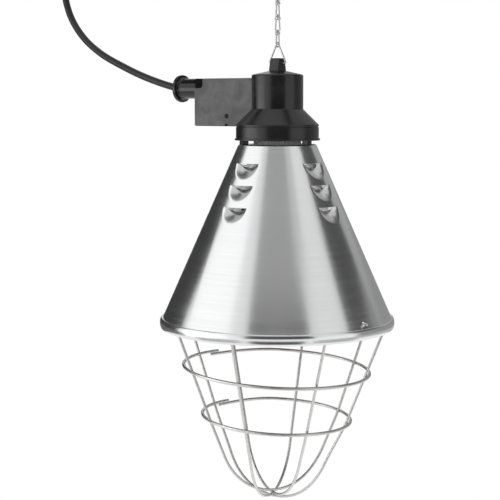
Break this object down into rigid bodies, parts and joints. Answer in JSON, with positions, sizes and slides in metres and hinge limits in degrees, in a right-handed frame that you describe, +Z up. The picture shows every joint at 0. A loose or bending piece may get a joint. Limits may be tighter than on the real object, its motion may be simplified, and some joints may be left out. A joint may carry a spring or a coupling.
{
  "type": "hanging infrared heat lamp",
  "caption": "Hanging infrared heat lamp: black lampholder housing with side switch box, louvred aluminium cone shade and wire guard, on a wire chain.",
  "frame": {"origin": "inside top of the S-hook, where the lamp hangs", "axes": "+Z up along the chain and lamp axis, -X towards the side box and cable gland, -Y towards the box cover"},
  "size_m": [0.415, 0.2116, 0.605],
  "materials": {
    "zinc_wire": "bright zinc plated wire",
    "spun_aluminium": "spun, bright",
    "black_moulding": "satin black moulding",
    "cover_moulding": "satin dark grey moulding",
    "rocker_moulding": "gloss black",
    "black_rubber": "matt black rubber",
    "core_insulation": "smooth insulation",
    "porcelain": "glazed",
    "brass": "plain",
    "zinc_screw": "zinc plated",
    "black_screw": "blackened",
    "ruby_glass": "ruby hard glass",
    "clear_glass": "clear",
    "cap_metal": "nickel plated brass",
    "tungsten": "coiled wire"
  },
  "bodies": {
    "hook": {"s_hook": "zinc_wire"},
    "chain": {"chain_link_01": "zinc_wire", "chain_link_02": "zinc_wire", "chain_link_03": "zinc_wire", "chain_link_04": "zinc_wire", "chain_link_05": "zinc_wire", "chain_link_06": "zinc_wire", "chain_link_07": "zinc_wire", "chain_link_08": "zinc_wire", "chain_link_09": "zinc_wire", "chain_link_10": "zinc_wire", "chain_link_11": "zinc_wire", "chain_link_12": "zinc_wire", "bail": "zinc_wire", "lead_coil": "black_rubber", "coil_tie": "core_insulation", "plug_body": "black_rubber", "plug_pins": "brass", "plug_earth_clips": "brass"},
    "lamp": {"housing": "black_moulding", "vent_collar": "spun_aluminium", "shade": "spun_aluminium", "shade_clamp_ring": "zinc_screw", "clamp_screws": "zinc_screw", "lampholder": "porcelain", "screw_shell": "brass", "centre_contact": "brass", "nipple": "brass", "lock_nut": "zinc_screw", "lock_washer": "zinc_screw", "switch_box": "black_moulding", "box_cover": "cover_moulding", "cover_screw": "black_screw", "switch_body": "cover_moulding", "diode": "cover_moulding", "cable_gland": "black_rubber", "lead_stub": "black_rubber", "cord_clamp": "cover_moulding", "cord_clamp_screws": "zinc_screw", "terminal_block": "cover_moulding", "terminal_screws": "zinc_screw", "supply_wires": "core_insulation", "lamp_wires": "core_insulation", "lead": "black_rubber"},
    "rocker": {"rocker": "rocker_moulding"},
    "bulb_tip": {"bulb_contact": "brass"},
    "bulb": {"bulb_glass": "ruby_glass", "bulb_cap": "cap_metal", "bulb_stem": "clear_glass", "filament": "tungsten"},
    "guard": {"guard_wire_1": "zinc_wire", "guard_wire_2": "zinc_wire", "guard_wire_3": "zinc_wire", "guard_wire_4": "zinc_wire", "guard_ring_top": "zinc_wire", "guard_ring_upper": "zinc_wire", "guard_ring_lower": "zinc_wire", "guard_hooks": "zinc_wire"}
  },
  "joints": [
    {"name": "chain_swing", "type": "hinge", "parent": "hook", "child": "chain", "pos_m": [0, 0, -0.0347], "axis": [0, 1, 0], "range_deg": [-25, 25]},
    {"name": "lamp_tilt", "type": "hinge", "parent": "chain", "child": "lamp", "pos_m": [0, 0, -0.20688], "axis": [1, 0, 0], "range_deg": [-30, 30], "deforming": ["lead"]},
    {"name": "guard_release", "type": "slide", "parent": "lamp", "child": "guard", "axis": [0, 0, -1], "range_m": [0, 0.04], "deforming": ["guard_hooks"]},
    {"name": "bulb_lift", "type": "slide", "parent": "lamp", "child": "bulb_tip", "axis": [0, 0, -1], "range_m": [0, 0.0146]},
    {"name": "bulb_turn", "type": "hinge", "parent": "bulb_tip", "child": "bulb", "pos_m": [0, 0, -0.27788], "axis": [0, 0, -1], "range_deg": [0, 1440]},
    {"name": "rocker_switch", "type": "hinge", "parent": "lamp", "child": "rocker", "pos_m": [-0.0729, 0.0085, -0.25138], "axis": [0, 0, 1], "range_deg": [0, 16]}
  ],
  "couplings": [
    {"joint": "bulb_lift", "follows": "bulb_turn", "m_per_rad": 0.00057757}
  ]
}
